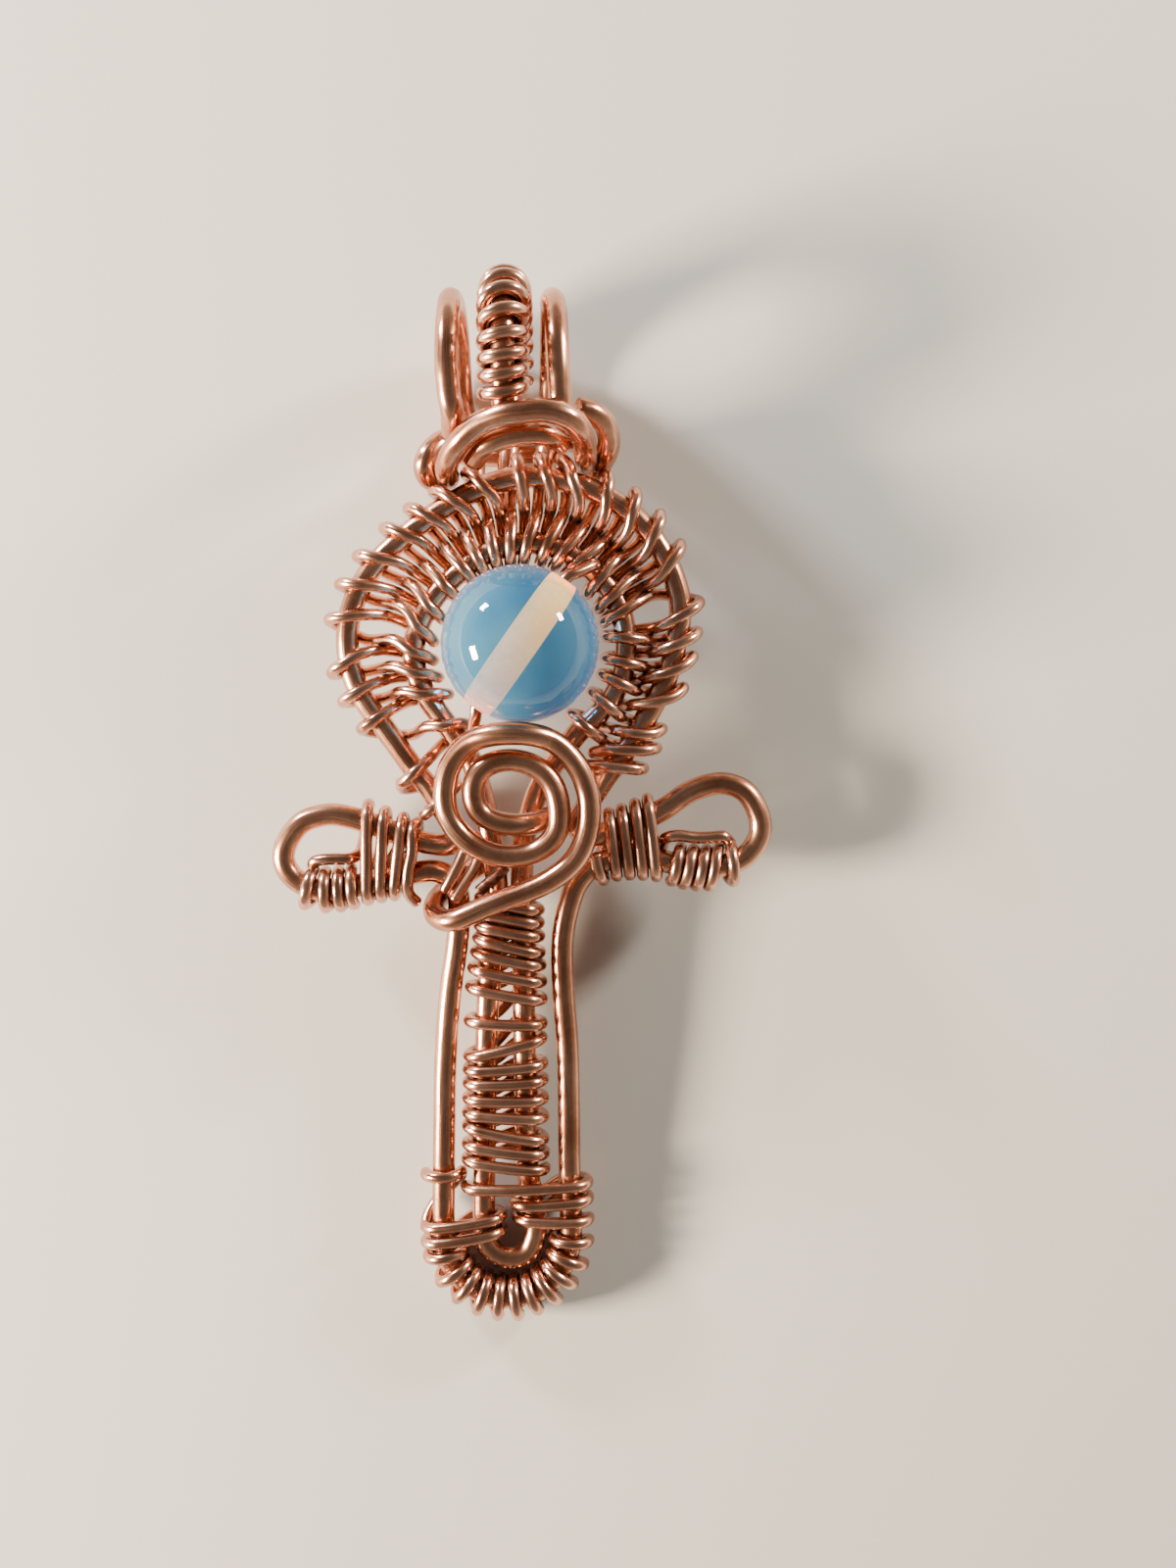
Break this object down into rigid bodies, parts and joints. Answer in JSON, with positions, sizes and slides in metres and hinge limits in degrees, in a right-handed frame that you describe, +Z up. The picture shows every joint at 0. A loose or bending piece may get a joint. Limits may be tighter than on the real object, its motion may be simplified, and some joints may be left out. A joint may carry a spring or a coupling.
{
  "type": "ankh pendant",
  "caption": "Ankh shaped pendant of bent and wrapped copper wire, with a coiled bail for a chain, a woven halo round a milky blue glass bead, and a flat scroll where the arms cross.",
  "frame": {"origin": "centre of the part's footprint, at the surface that the pendant lies on", "axes": "+X across the arms, to the viewer's right; +Y along the shaft towards the bail; +Z up out of the front face"},
  "size_m": [0.0254, 0.0534, 0.01],
  "materials": {
    "frame_wire": "drawn copper wire, semi-gloss, lightly tarnished in the crevices",
    "wrap_wire": "thin drawn copper wire, semi-gloss",
    "opalite": "polished milky blue opalite glass with a pale rim"
  },
  "bodies": {
    "root": {"outer_frame_wire": "frame_wire", "inner_frame_wire": "frame_wire", "spiral_wire": "frame_wire", "neck_wrap": "frame_wire", "bail_left_wire": "frame_wire", "bail_right_wire": "frame_wire", "bail_core_wire": "frame_wire", "bail_coil": "wrap_wire", "halo_weave": "wrap_wire", "left_arm_wrap": "wrap_wire", "right_arm_wrap": "wrap_wire", "shaft_coil": "wrap_wire", "foot_wrap": "wrap_wire", "hub_wrap": "wrap_wire", "bead_wire": "wrap_wire", "glass_bead": "opalite"}
  },
  "joints": []
}
